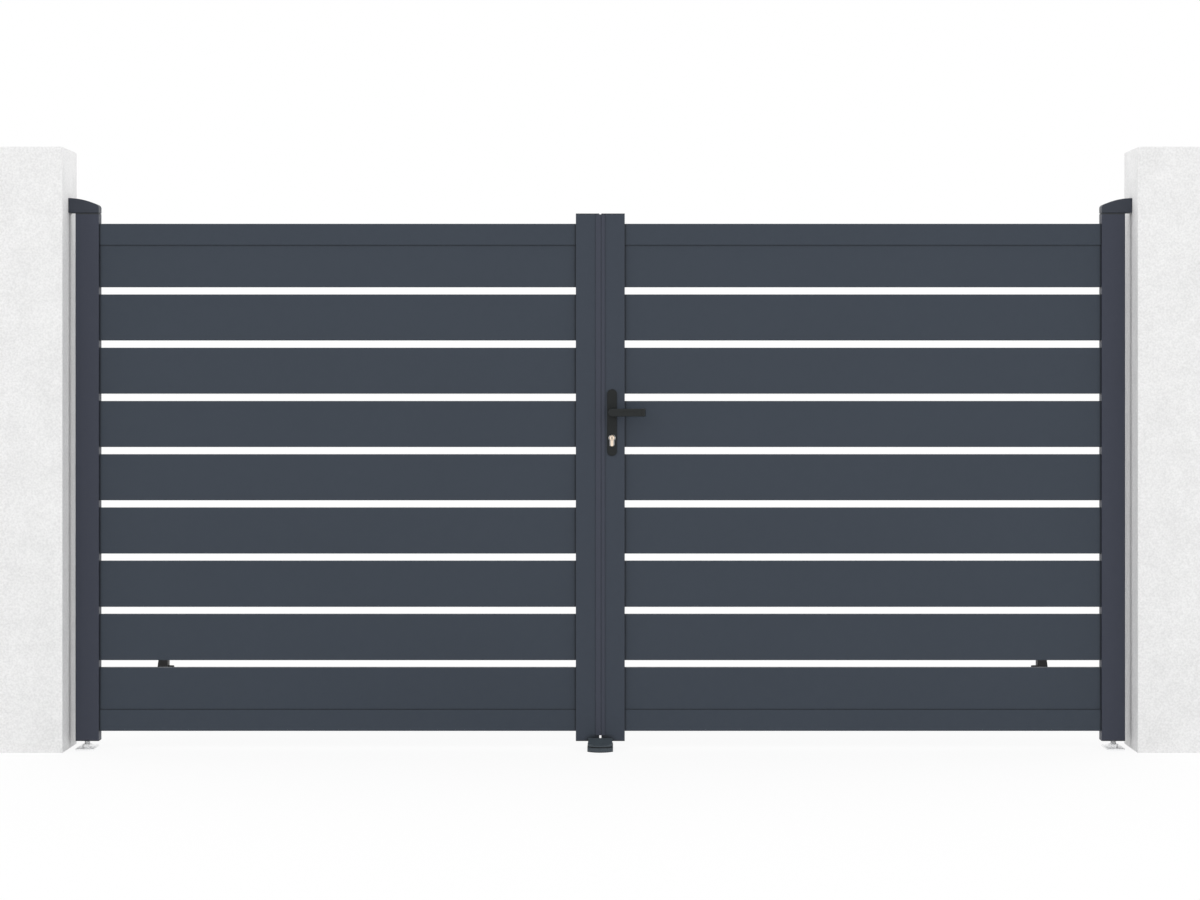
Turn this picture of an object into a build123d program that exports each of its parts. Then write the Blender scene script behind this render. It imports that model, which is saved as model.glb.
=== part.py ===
from build123d import *
import math
import os

# A double-leaf driveway gate of hollow aluminium extrusions, hung between two rendered pillars.
# X runs along the gate from its middle, the street is on the -Y side, and Z is up from the ground.
# All lengths are in millimetres and all angles in degrees.

# Opening and pillars
clear_opening = 3000.0
pillar_side = 190.0
pillar_rise = 182.0
pillar_arris = 3.0

# Leaves
pillar_gap = 20.0
meeting_gap = 6.0
ground_gap = 22.5
pivot_setback = 50.0
opening_angle = 89.0

# Stiles, the hollow uprights at both ends of a leaf
stile_width = 66.0
stile_depth = 40.0
stile_wall = 2.2
stile_corner = 2.0
stile_rise = 28.5
stile_drop = 27.5

# Rails, which close the infill at the top and the bottom
rail_height = 60.0
rail_depth = 26.0
rail_wall = 2.0
rail_corner = 1.5

# Slats, numbered from the top
slat_count = 9
slat_height = 130.0
slat_thickness = 20.0
slat_wall = 1.5
slat_corner = 3.0
slat_gap = 20.5
slat_tuck = 11.25

# Joints between the members
tenon_length = 12.0
mortise_play = 0.3
groove_play = 0.3
running_play = 0.3

# End caps and pivot bushes of the stiles
cap_thickness = 2.5
cap_spigot_depth = 8.0
cap_spigot_play = 0.2
bush_wall = 5.5
bush_depth = 32.0
bush_floor = 4.0

# Cover strips over the meeting gap
strip_thickness = 2.5
strip_reach = 13.0
strip_seam = 1.0
strip_corner = 1.0
strip_foot = 39.0

# Top hinges
top_pin_diameter = 14.0
top_pin_entry = 26.0
bracket_thickness = 5.0
bracket_height = 30.0
bracket_hole = 9.0
bracket_hole_spacing = 18.0
bracket_plate_lift = 1.0
bracket_arm_width = 12.0
bracket_arm_thickness = 8.0
bracket_lift = 14.0
bracket_boss_diameter = 26.0
cover_height = 41.0
cover_wall = 3.0
cover_lift = 2.5
cover_arc_radius = 188.0
cover_nose_radius = 10.0
cover_edge = 1.0

# Floor pivots
floor_plate_width = 50.0
floor_plate_length = 90.0
floor_plate_thickness = 4.0
floor_plate_corner = 4.0
floor_stud_diameter = 16.0
floor_stud_entry = 26.0
floor_stud_core = 14.0
floor_nut_across_flats = 24.0
floor_nut_height = 8.0
floor_hole = 11.0
floor_hole_spacing = 62.0

# Ground stop between the leaves
shoe_width = 72.0
shoe_front = 92.0
shoe_back = 34.0
shoe_rim_height = 12.0
shoe_rim_edge = 1.0
shoe_nose_radius = 42.0
shoe_corner = 6.0
shoe_groove_height = 3.5
shoe_groove_inset = 5.5
shoe_wedge_inset = 2.0
shoe_wedge_toe = 2.5
shoe_wedge_height = 32.0
shoe_crest = 8.0
shoe_heel_height = 16.0
shoe_leaf_clearance = 5.0
shoe_hole = 9.0
shoe_hole_spacing = 44.0
shoe_hole_y = 16.0

# Leaf stops behind the gate, one for each leaf when it is open
stop_top_width = 28.0
stop_foot_width = 43.0
stop_depth = 40.0
stop_height = 120.0
stop_face = 8.0
stop_wall = 5.0
stop_top_radius = 14.0
stop_plate_width = 96.0
stop_plate_length = 60.0
stop_plate_thickness = 6.0
stop_plate_corner = 4.0
stop_hole = 11.0
stop_hole_spacing = 40.0
stop_hole_edge = 14.0
buffer_diameter = 24.0
buffer_length = 18.0
buffer_height = 65.0
buffer_tip_diameter = 23.0
buffer_tip_edge = 1.0
buffer_recess_diameter = 10.0
buffer_recess_depth = 4.0
stop_clearance = 5.0

# Lock on the right leaf
lock_backset = 30.0
lock_spindle_height = 949.0
lock_centres = 72.0
lock_case_thickness = 16.0
lock_case_rear = 16.0
lock_case_above = 38.0
lock_case_below = 55.0
lock_case_corner = 2.0
face_plate_width = 24.0
face_plate_height = 210.0
face_plate_corner = 3.0
face_plate_hole = 5.0
face_plate_hole_edge = 8.0
latch_height = 22.0
latch_thickness = 11.0
latch_reach = 2.5
strike_height = 120.0
strike_pocket_height = 28.0
strike_pocket_width = 14.0
handle_plate_width = 27.0
handle_plate_height = 187.0
handle_plate_thickness = 4.0
handle_plate_corner = 12.5
handle_plate_edge = 1.0
handle_plate_above = 65.0
cylinder_head_diameter = 17.0
cylinder_tail_width = 10.0
cylinder_height = 33.0
cylinder_sunk = 1.0
cylinder_plug_diameter = 13.0
cylinder_plug_proud = 0.8
keyway_width = 2.2
keyway_height = 8.5
keyway_depth = 9.0
cylinder_edge = 1.0
cylinder_play = 1.0

# Lever handles
spindle_side = 8.0
spindle_play = 0.2
spindle_entry = 14.0
spindle_hole = 13.0
lever_reach = 94.5
lever_height = 22.0
lever_thickness = 11.0
lever_front_edge = 3.0
lever_bend_radius = 7.0
lever_stand = 46.0
lever_return = 18.0
lever_neck_diameter = 18.0
lever_groove_width = 1.2
lever_groove_depth = 0.5
lever_line_rise = 2.0
lever_boss_diameter = 22.0
lever_boss_length = 10.0
lever_boss_gap = 0.6

# Sizes that follow from those above
pillar_face_x = clear_opening / 2
pillar_x = pillar_face_x + pillar_side / 2
meeting_stile_x = meeting_gap / 2 + stile_width / 2
hinge_stile_x = pillar_face_x - pillar_gap - stile_width / 2
infill_start_x = meeting_stile_x + stile_width / 2
infill_end_x = hinge_stile_x - stile_width / 2
hinge_x = pillar_face_x - pivot_setback
slat_pitch = slat_height + slat_gap
bottom_rail_z = ground_gap + stile_drop
lowest_slat_z = bottom_rail_z + rail_height - slat_tuck
infill_height = slat_count * slat_height + (slat_count - 1) * slat_gap
top_rail_z = lowest_slat_z + infill_height - slat_tuck
leaf_top_z = top_rail_z + rail_height + stile_rise
pillar_height = leaf_top_z + pillar_rise
leaf_face_y = stile_depth / 2
cover_foot_z = leaf_top_z + cover_lift
lock_cylinder_z = lock_spindle_height - lock_centres
lock_x = meeting_gap / 2 + lock_backset
latch_z = lock_spindle_height + lock_case_above / 2


def save(piece, node):
    """Label a finished piece and write it as its own file."""
    piece.part.label = node
    export_step(piece.part, f"parts/{node}.step")


def make_pillar(side):
    """A square masonry pillar with eased arrises and a flat top."""
    with BuildPart() as pillar:
        with BuildSketch(Plane.XY):
            with Locations((side * pillar_x, 0)):
                RectangleRounded(pillar_side, pillar_side, pillar_arris)
        extrude(amount=pillar_height)
        chamfer(pillar.edges().group_by(Axis.Z)[-1], pillar_arris)
    return pillar


def make_stile(stile_x, facing, ways=()):
    """A hollow upright, mortised for the slats and rails on the side that faces the infill."""
    tube_bottom = ground_gap + cap_thickness
    tube_length = leaf_top_z - ground_gap - 2 * cap_thickness
    infill_face_x = stile_x + facing * stile_width / 2
    with BuildPart() as stile:
        with BuildSketch(Plane.XY.offset(tube_bottom)):
            with Locations((stile_x, 0)):
                RectangleRounded(stile_width, stile_depth, stile_corner)
                Rectangle(stile_width - 2 * stile_wall, stile_depth - 2 * stile_wall, mode=Mode.SUBTRACT)
        extrude(amount=tube_length)
        with BuildSketch(Plane.YZ.offset(infill_face_x)):
            for slat in range(slat_count):
                with Locations((0, lowest_slat_z + slat_height / 2 + slat * slat_pitch)):
                    Rectangle(slat_thickness + 2 * mortise_play, slat_height + 2 * mortise_play)
            for rail_z in (bottom_rail_z, top_rail_z):
                with Locations((0, rail_z + rail_height / 2)):
                    Rectangle(rail_depth + 2 * mortise_play, rail_height + 2 * mortise_play)
        extrude(amount=stile_wall + mortise_play, both=True, mode=Mode.SUBTRACT)
        for outline, depth in ways:
            extrude(outline, amount=depth, both=True, mode=Mode.SUBTRACT)
    return stile


def make_end_caps(side):
    """Four caps that close the stiles' ends, two of them with a bush for the leaf's pivots."""
    spigot_width = stile_width - 2 * stile_wall - 2 * cap_spigot_play
    spigot_depth = stile_depth - 2 * stile_wall - 2 * cap_spigot_play
    ends = ((ground_gap, 1, floor_stud_diameter, bush_floor), (leaf_top_z, -1, top_pin_diameter, 0))
    with BuildPart() as caps:
        for end_z, inward, pin_diameter, floor in ends:
            bore_depth = bush_depth - floor
            with BuildSketch(Plane.XY.offset(end_z)):
                with Locations((side * meeting_stile_x, 0), (side * hinge_stile_x, 0)):
                    RectangleRounded(stile_width, stile_depth, stile_corner)
            extrude(amount=inward * cap_thickness)
            with BuildSketch(Plane.XY.offset(end_z)):
                with Locations((side * meeting_stile_x, 0), (side * hinge_stile_x, 0)):
                    Rectangle(spigot_width, spigot_depth)
            extrude(amount=inward * (cap_thickness + cap_spigot_depth))
            with BuildSketch(Plane.XY.offset(end_z)):
                with Locations((side * hinge_x, 0)):
                    Circle(pin_diameter / 2 + bush_wall)
            extrude(amount=inward * bush_depth)
            with BuildSketch(Plane.XY.offset(end_z)):
                with Locations((side * hinge_x, 0)):
                    Circle(pin_diameter / 2 + running_play)
            extrude(amount=inward * bore_depth, mode=Mode.SUBTRACT)
    return caps


def make_rail(side, rail_z, groove_up):
    """A hollow rail with a groove along one edge that takes the end slat."""
    groove_depth = slat_tuck + groove_play
    chamber_height = rail_height - groove_depth - 2 * rail_wall
    groove_z = rail_height / 2 - groove_depth / 2 if groove_up else groove_depth / 2 - rail_height / 2
    chamber_z = -groove_depth / 2 if groove_up else groove_depth / 2
    rail_length = infill_end_x - infill_start_x + 2 * tenon_length
    with BuildPart() as rail:
        with BuildSketch(Plane.YZ.offset(side * (infill_start_x - tenon_length))):
            with Locations((0, rail_z + rail_height / 2)):
                RectangleRounded(rail_depth, rail_height, rail_corner)
                with Locations((0, groove_z)):
                    Rectangle(slat_thickness + 2 * groove_play, groove_depth, mode=Mode.SUBTRACT)
                with Locations((0, chamber_z)):
                    Rectangle(rail_depth - 2 * rail_wall, chamber_height, mode=Mode.SUBTRACT)
        extrude(amount=side * rail_length)
    return rail


def make_slat(side, slat_z):
    """A flat hollow slat with rounded edges."""
    slat_length = infill_end_x - infill_start_x + 2 * tenon_length
    with BuildPart() as slat:
        with BuildSketch(Plane.YZ.offset(side * (infill_start_x - tenon_length))):
            with Locations((0, slat_z + slat_height / 2)):
                RectangleRounded(slat_thickness, slat_height, slat_corner)
                Rectangle(slat_thickness - 2 * slat_wall, slat_height - 2 * slat_wall, mode=Mode.SUBTRACT)
        extrude(amount=side * slat_length)
    return slat


def make_cover_strip(start_x, end_x):
    """A flat strip on the street face of a meeting stile, with its outer edges eased."""
    with BuildPart() as strip:
        with BuildSketch(Plane.XY.offset(strip_foot)):
            with Locations(((start_x + end_x) / 2, -leaf_face_y - strip_thickness / 2)):
                Rectangle(abs(end_x - start_x), strip_thickness)
        extrude(amount=leaf_top_z - cap_thickness - strip_foot)
        street_edges = strip.edges().filter_by(Axis.Z).group_by(Axis.Y)[0]
        fillet(street_edges, strip_corner)
    return strip


def make_top_bracket(side):
    """The pillar bracket of a top hinge: wall plate, arm, boss and the pin that hangs from it."""
    plate_z = cover_foot_z + bracket_height / 2 + bracket_plate_lift
    arm_z = cover_foot_z + bracket_lift
    pin_foot_z = leaf_top_z - top_pin_entry
    with BuildPart() as bracket:
        with BuildSketch(Plane.YZ.offset(side * pillar_face_x)):
            with Locations((0, plate_z)):
                Rectangle(stile_depth - 2 * cover_wall - 2 * mortise_play, bracket_height)
                with GridLocations(bracket_hole_spacing, 0, 2, 1):
                    Circle(bracket_hole / 2, mode=Mode.SUBTRACT)
        extrude(amount=-side * bracket_thickness)
        with BuildSketch(Plane.XY.offset(arm_z)):
            with Locations((side * (pillar_face_x + hinge_x) / 2, 0)):
                Rectangle(pivot_setback, bracket_arm_width)
            with Locations((side * hinge_x, 0)):
                Circle(bracket_boss_diameter / 2)
        extrude(amount=bracket_arm_thickness)
        with BuildSketch(Plane.XY.offset(cover_foot_z)):
            with Locations((side * hinge_x, 0)):
                Circle(bracket_boss_diameter / 2)
        extrude(amount=bracket_lift)
        with BuildSketch(Plane.XY.offset(pin_foot_z)):
            with Locations((side * hinge_x, 0)):
                Circle(top_pin_diameter / 2)
        extrude(amount=cover_foot_z - pin_foot_z)
    return bracket


def make_top_cover(side):
    """The cast cover of a top hinge, a shell with a falling curved top, open below and behind."""
    root_x = side * pillar_face_x
    tip_x = side * (pillar_face_x - pillar_gap - stile_width)
    reach = abs(root_x - tip_x)
    fall = cover_arc_radius - math.sqrt(cover_arc_radius**2 - reach**2)
    root_top = (root_x, cover_foot_z + cover_height)
    tip_top = (tip_x, cover_foot_z + cover_height - fall)
    with BuildPart() as cover:
        with BuildSketch(Plane.XZ):
            with BuildLine():
                Line((root_x, cover_foot_z), root_top)
                TangentArc(root_top, tip_top, tangent=(-side, 0))
                Line(tip_top, (tip_x, cover_foot_z))
                Line((tip_x, cover_foot_z), (root_x, cover_foot_z))
            outline = make_face()
            nose = outline.vertices().sort_by(Axis.X, reverse=side < 0)[:2].sort_by(Axis.Y)[-1:]
            fillet(nose, cover_nose_radius)
        extrude(amount=stile_depth / 2, both=True)
        below = cover.faces().sort_by(Axis.Z)[0]
        behind = cover.faces().filter_by(Axis.X).sort_by(Axis.X, reverse=side > 0)[0]
        offset(amount=-cover_wall, openings=[below, behind])
        for face_y in (-stile_depth / 2, stile_depth / 2):
            rim = cover.edges().filter_by_position(Axis.Y, face_y, face_y)
            chamfer(rim.filter_by_position(Axis.Z, cover_foot_z + cover_edge, leaf_top_z + pillar_rise), cover_edge)
    return cover


def make_floor_pivot(side):
    """A floor plate with a threaded stud that carries the leaf, and its flat lock nut."""
    with BuildPart() as pivot:
        with BuildSketch(Plane.XY):
            with Locations((side * hinge_x, 0)):
                RectangleRounded(floor_plate_width, floor_plate_length, floor_plate_corner)
                with GridLocations(0, floor_hole_spacing, 1, 2):
                    Circle(floor_hole / 2, mode=Mode.SUBTRACT)
        extrude(amount=floor_plate_thickness)
        with BuildSketch(Plane.XY.offset(floor_plate_thickness)):
            with Locations((side * hinge_x, 0)):
                RegularPolygon(floor_nut_across_flats / 2, 6, major_radius=False)
        extrude(amount=floor_nut_height)
        with BuildSketch(Plane.XY.offset(floor_plate_thickness)):
            with Locations((side * hinge_x, 0)):
                Circle(floor_stud_core / 2)
        extrude(amount=ground_gap - floor_plate_thickness)
        with BuildSketch(Plane.XY.offset(ground_gap - running_play)):
            with Locations((side * hinge_x, 0)):
                Circle(floor_stud_diameter / 2)
        extrude(amount=floor_stud_entry + running_play)
    return pivot


def shoe_outline(inset, foot_z, back_y):
    """The ground stop's outline at one level, from its curved nose to a straight back, drawn in by an inset."""
    half_width = shoe_width / 2 - inset
    nose_radius = shoe_nose_radius - inset
    nose_y = shoe_nose_radius - shoe_front
    shoulder_y = nose_y - math.sqrt(nose_radius**2 - half_width**2)
    with BuildSketch(Plane.XY.offset(foot_z)) as outline:
        with BuildLine():
            Line((half_width, shoulder_y), (half_width, back_y))
            Line((half_width, back_y), (-half_width, back_y))
            Line((-half_width, back_y), (-half_width, shoulder_y))
            ThreePointArc((-half_width, shoulder_y), (0, nose_y - nose_radius), (half_width, shoulder_y))
        make_face()
        fillet(outline.vertices(), shoe_corner)
    return outline.sketch


def make_ground_stop():
    """The shoe in the middle of the drive: a rimmed base, a shadow groove and a wedge for the leaves."""
    back_face_y = -(leaf_face_y + shoe_leaf_clearance)
    wedge_foot_z = shoe_rim_height + shoe_groove_height
    with BuildPart() as shoe:
        extrude(shoe_outline(0, 0, shoe_back), amount=shoe_rim_height)
        chamfer(shoe.edges().group_by(Axis.Z)[-1], shoe_rim_edge)
        extrude(shoe_outline(shoe_wedge_inset, wedge_foot_z, back_face_y), amount=shoe_wedge_height - wedge_foot_z)
        with BuildSketch(Plane.YZ):
            with BuildLine():
                Polyline(
                    (-shoe_front, wedge_foot_z + shoe_wedge_toe),
                    (back_face_y - shoe_crest, shoe_wedge_height),
                    (-shoe_front, shoe_wedge_height),
                    close=True,
                )
            make_face()
        extrude(amount=shoe_width / 2, both=True, mode=Mode.SUBTRACT)
        extrude(shoe_outline(shoe_groove_inset, shoe_rim_height, back_face_y), amount=shoe_groove_height)
        with BuildSketch(Plane.XY.offset(shoe_rim_height)):
            with Locations((0, (back_face_y + shoe_back - shoe_corner) / 2)):
                Rectangle(shoe_width - 2 * shoe_corner, shoe_back - shoe_corner - back_face_y)
        extrude(amount=shoe_heel_height - shoe_rim_height)
        with Locations((0, shoe_hole_y, shoe_heel_height)):
            with GridLocations(shoe_hole_spacing, 0, 2, 1):
                Hole(shoe_hole / 2)
    return shoe


def leaf_stop_place(side):
    """Where the buffer's tip stands beside the open leaf, as X and Y."""
    reach = hinge_x - meeting_stile_x
    turn = math.radians(opening_angle)
    face_x = hinge_x - reach * math.cos(turn) + leaf_face_y * math.sin(turn)
    face_y = reach * math.sin(turn) + leaf_face_y * math.cos(turn)
    return side * (face_x + stop_clearance), face_y


def make_leaf_stop(side):
    """A cast upright on a foot plate, open behind between its two cheeks, for the open leaf's buffer."""
    tip_x, stop_y = leaf_stop_place(side)
    face_x = tip_x + side * buffer_length
    foot_x = face_x + side * stop_foot_width
    top_x = face_x + side * stop_top_width
    plate_x = face_x + side * stop_plate_width / 2
    hole_x = face_x + side * (stop_plate_width - stop_hole_edge)
    with BuildPart() as stop:
        with BuildSketch(Plane.XY):
            with Locations((plate_x, stop_y)):
                RectangleRounded(stop_plate_width, stop_plate_length, stop_plate_corner)
            with Locations((hole_x, stop_y)):
                with GridLocations(0, stop_hole_spacing, 1, 2):
                    Circle(stop_hole / 2, mode=Mode.SUBTRACT)
        extrude(amount=stop_plate_thickness)
        with BuildSketch(Plane.XZ.offset(-stop_y)):
            with BuildLine():
                Line((face_x, stop_plate_thickness), (face_x, stop_height))
                Line((face_x, stop_height), (top_x, stop_height))
                Line((top_x, stop_height), (foot_x, stop_plate_thickness))
                Line((foot_x, stop_plate_thickness), (face_x, stop_plate_thickness))
            upright = make_face()
            far_top = upright.vertices().sort_by(Axis.Y)[2:].sort_by(Axis.X, reverse=side > 0)[:1]
            fillet(far_top, stop_top_radius)
        extrude(amount=stop_depth / 2, both=True)
        with BuildSketch(Plane.XZ.offset(-stop_y)):
            with BuildLine():
                Polyline(
                    (face_x + side * stop_face, stop_plate_thickness),
                    (face_x + side * stop_face, stop_height - stop_face),
                    (foot_x, stop_height - stop_face),
                    (foot_x, stop_plate_thickness),
                    close=True,
                )
            make_face()
        extrude(amount=stop_depth / 2 - stop_wall, both=True, mode=Mode.SUBTRACT)
    return stop


def make_stop_buffer(side):
    """The rubber buffer on the upright, tapered to its tip, with a sunk middle for its screw."""
    tip_x, stop_y = leaf_stop_place(side)
    root_x = tip_x + side * buffer_length
    edge_x = tip_x + side * buffer_tip_edge
    recess_x = tip_x + side * buffer_recess_depth
    tip_top = buffer_height + buffer_tip_diameter / 2
    recess_top = buffer_height + buffer_recess_diameter / 2
    with BuildPart() as buffer:
        with BuildSketch(Plane.XZ.offset(-stop_y)):
            with BuildLine():
                Polyline(
                    (root_x, buffer_height),
                    (root_x, buffer_height + buffer_diameter / 2),
                    (edge_x, tip_top),
                    (tip_x, tip_top - buffer_tip_edge),
                    (tip_x, recess_top),
                    (recess_x, recess_top),
                    (recess_x, buffer_height),
                    close=True,
                )
            make_face()
        revolve(axis=Axis((tip_x, stop_y, buffer_height), (1, 0, 0)))
    return buffer


def cylinder_outline(play):
    """The round-headed key cylinder's outline on a plane that looks along Y, with play all round."""
    head_radius = cylinder_head_diameter / 2 + play
    tail_half = cylinder_tail_width / 2 + play
    tail_foot = cylinder_head_diameter / 2 - cylinder_height - play
    with BuildSketch(Plane.XZ) as outline:
        with Locations((lock_x, lock_cylinder_z)):
            Circle(head_radius)
        with Locations((lock_x, lock_cylinder_z + (tail_foot + tail_half) / 2)):
            Rectangle(2 * tail_half, -tail_foot - tail_half)
        with Locations((lock_x, lock_cylinder_z + tail_foot + tail_half)):
            Circle(tail_half)
    return outline.sketch


def lock_ways():
    """The cut-outs of the right meeting stile: its edge, its spindle hole and its key cylinder's way."""
    with BuildSketch(Plane.YZ.offset(meeting_gap / 2)) as edge:
        with Locations((0, face_plate_middle())):
            Rectangle(face_plate_width + 2 * running_play, face_plate_height + 2 * running_play)
    with BuildSketch(Plane.XZ) as spindle_way:
        with Locations((lock_x, lock_spindle_height)):
            Circle(spindle_hole / 2)
    return (
        (edge.sketch, stile_wall),
        (spindle_way.sketch, stile_depth),
        (cylinder_outline(cylinder_play), stile_depth),
    )


def strike_way():
    """The cut-out of the left meeting stile, for the strike plate."""
    with BuildSketch(Plane.YZ.offset(-meeting_gap / 2)) as edge:
        with Locations((0, latch_z)):
            Rectangle(face_plate_width + 2 * running_play, strike_height + 2 * running_play)
    return ((edge.sketch, stile_wall),)


def face_plate_middle():
    """Height of the middle of the lock's face plate."""
    return lock_spindle_height + (lock_case_above - lock_case_below - lock_centres) / 2


def make_lock_case():
    """The mortise lock: a flat case behind a face plate, with its latch nose."""
    case_height = lock_case_above + lock_centres + lock_case_below
    plate_x = meeting_gap / 2
    with BuildPart() as lock:
        with BuildSketch(Plane.YZ.offset(plate_x)):
            with Locations((0, face_plate_middle())):
                RectangleRounded(face_plate_width, face_plate_height, face_plate_corner)
                with GridLocations(0, face_plate_height - 2 * face_plate_hole_edge, 1, 2):
                    Circle(face_plate_hole / 2, mode=Mode.SUBTRACT)
        extrude(amount=stile_wall)
        with BuildSketch(Plane.YZ.offset(plate_x)):
            with Locations((0, face_plate_middle())):
                RectangleRounded(lock_case_thickness, case_height, lock_case_corner)
        extrude(amount=lock_backset + lock_case_rear)
        with BuildSketch(Plane.XY.offset(latch_z - latch_height / 2)):
            with BuildLine():
                Polyline(
                    (plate_x, -latch_thickness / 2),
                    (plate_x - latch_reach, -latch_thickness / 2),
                    (plate_x - latch_reach, -latch_thickness / 4),
                    (plate_x - latch_reach / 4, latch_thickness / 2),
                    (plate_x, latch_thickness / 2),
                    close=True,
                )
            make_face()
        extrude(amount=latch_height)
        with BuildSketch(Plane.XZ):
            with Locations((lock_x, lock_spindle_height)):
                Circle(spindle_hole / 2)
        extrude(amount=lock_case_thickness, both=True, mode=Mode.SUBTRACT)
        extrude(cylinder_outline(cylinder_play), amount=lock_case_thickness, both=True, mode=Mode.SUBTRACT)
    return lock


def make_strike_plate():
    """The strike plate in the left stile's edge, with the pocket for the latch."""
    with BuildPart() as strike:
        with BuildSketch(Plane.YZ.offset(-meeting_gap / 2)):
            with Locations((0, latch_z)):
                RectangleRounded(face_plate_width, strike_height, face_plate_corner)
                RectangleRounded(strike_pocket_width, strike_pocket_height, face_plate_corner, mode=Mode.SUBTRACT)
                with GridLocations(0, strike_height - 2 * face_plate_hole_edge, 1, 2):
                    Circle(face_plate_hole / 2, mode=Mode.SUBTRACT)
        extrude(amount=-stile_wall)
    return strike


def make_handle_plate(face):
    """The long plate under a lever, with round holes for the spindle and the key cylinder's way."""
    plate_middle = lock_spindle_height + handle_plate_above - handle_plate_height / 2
    seat_y = face * leaf_face_y
    with BuildPart() as plate:
        with BuildSketch(Plane.XZ.offset(-seat_y)):
            with Locations((lock_x, plate_middle)):
                RectangleRounded(handle_plate_width, handle_plate_height, handle_plate_corner)
            with Locations((lock_x, lock_spindle_height)):
                Circle(spindle_hole / 2, mode=Mode.SUBTRACT)
        extrude(amount=-face * handle_plate_thickness)
        rim = plate.faces().sort_by(Axis.Y, reverse=face > 0)[0].outer_wire().edges()
        chamfer(rim, handle_plate_edge)
        extrude(cylinder_outline(cylinder_play), amount=stile_depth, both=True, mode=Mode.SUBTRACT)
    return plate


def make_lock_cylinder():
    """The key cylinder, which passes right through the leaf, with a plug and a keyway at both ends."""
    half_length = leaf_face_y + handle_plate_thickness - cylinder_sunk
    with BuildPart() as cylinder:
        extrude(cylinder_outline(0), amount=half_length, both=True)
        chamfer(cylinder.faces().filter_by(Axis.Y).edges(), cylinder_edge)
        with BuildSketch(Plane.XZ):
            with Locations((lock_x, lock_cylinder_z)):
                Circle(cylinder_plug_diameter / 2)
        extrude(amount=half_length + cylinder_plug_proud, both=True)
        for face in (-1, 1):
            with BuildSketch(Plane.XZ.offset(-face * (half_length + cylinder_plug_proud))):
                with Locations((lock_x, lock_cylinder_z)):
                    Rectangle(keyway_width, keyway_height)
            extrude(amount=face * keyway_depth, mode=Mode.SUBTRACT)
    return cylinder


def make_lever(face):
    """A lever handle: a round boss and neck on the spindle, and a flat grip with its end turned to the leaf."""
    boss_y = face * (leaf_face_y + handle_plate_thickness + lever_boss_gap)
    front_y = face * (leaf_face_y + lever_stand + lever_thickness / 2)
    back_y = front_y - face * lever_thickness
    end_x = lock_x + lever_reach
    band_x = end_x - lever_thickness
    line_start_x = lock_x + lever_height
    line_end_x = band_x - lever_height / 2
    with BuildPart() as lever:
        with BuildSketch(Plane.XZ.offset(-front_y)):
            with Locations((lock_x, lock_spindle_height)):
                Circle(lever_height / 2)
            with Locations(((lock_x + end_x) / 2, lock_spindle_height)):
                Rectangle(lever_reach, lever_height)
        extrude(amount=face * lever_thickness)
        with BuildSketch(Plane.XZ.offset(-front_y)):
            with Locations(((band_x + end_x) / 2, lock_spindle_height)):
                Rectangle(lever_thickness, lever_height)
        extrude(amount=face * (lever_return + lever_thickness / 2))
        bend = lever.edges().filter_by(Axis.Z).group_by(Axis.X)[-1].sort_by(Axis.Y, reverse=face > 0)[0]
        fillet(bend, lever_bend_radius)
        front = lever.faces().filter_by(Axis.Y).sort_by(Axis.Y, reverse=face > 0)[0]
        fillet(front.edges().filter_by(Axis.Z, reverse=True), lever_front_edge)
        with BuildSketch(Plane.XZ.offset(-front_y)):
            with Locations(((line_start_x + line_end_x) / 2, lock_spindle_height + lever_line_rise)):
                Rectangle(line_end_x - line_start_x, lever_groove_width)
        extrude(amount=face * lever_groove_depth, mode=Mode.SUBTRACT)
        with BuildSketch(Plane.YZ.offset(band_x - lever_groove_width)):
            with Locations(((front_y + back_y) / 2, lock_spindle_height)):
                Rectangle(lever_thickness, lever_height)
                Rectangle(
                    lever_thickness - 2 * lever_groove_depth,
                    lever_height - 2 * lever_groove_depth,
                    mode=Mode.SUBTRACT,
                )
        extrude(amount=lever_groove_width, mode=Mode.SUBTRACT)
        with BuildSketch(Plane.XZ.offset(-boss_y)):
            with Locations((lock_x, lock_spindle_height)):
                Circle(lever_neck_diameter / 2)
        extrude(amount=abs(back_y - boss_y) * -face)
        with BuildSketch(Plane.XZ.offset(-boss_y)):
            with Locations((lock_x, lock_spindle_height)):
                Circle(lever_boss_diameter / 2)
        extrude(amount=-face * lever_boss_length)
        with BuildSketch(Plane.XZ.offset(-boss_y)):
            with Locations((lock_x, lock_spindle_height)):
                Rectangle(spindle_side + 2 * spindle_play, spindle_side + 2 * spindle_play)
        extrude(amount=-face * (spindle_entry + spindle_play), mode=Mode.SUBTRACT)
    return lever


def make_spindle():
    """The square bar that joins the two levers through the lock."""
    half_length = leaf_face_y + handle_plate_thickness + lever_boss_gap + spindle_entry
    with BuildPart() as spindle:
        with BuildSketch(Plane.XZ):
            with Locations((lock_x, lock_spindle_height)):
                Rectangle(spindle_side, spindle_side)
        extrude(amount=half_length, both=True)
    return spindle


def build_fixed_pieces(name, side):
    """The pillar on one side, and what is fixed to it and to the ground there."""
    save(make_pillar(side), f"{name}_pillar")
    save(make_top_bracket(side), f"{name}_top_hinge_bracket")
    save(make_top_cover(side), f"{name}_top_hinge_cover")
    save(make_floor_pivot(side), f"{name}_floor_pivot")
    save(make_leaf_stop(side), f"{name}_leaf_stop")
    save(make_stop_buffer(side), f"{name}_stop_buffer")


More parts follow.
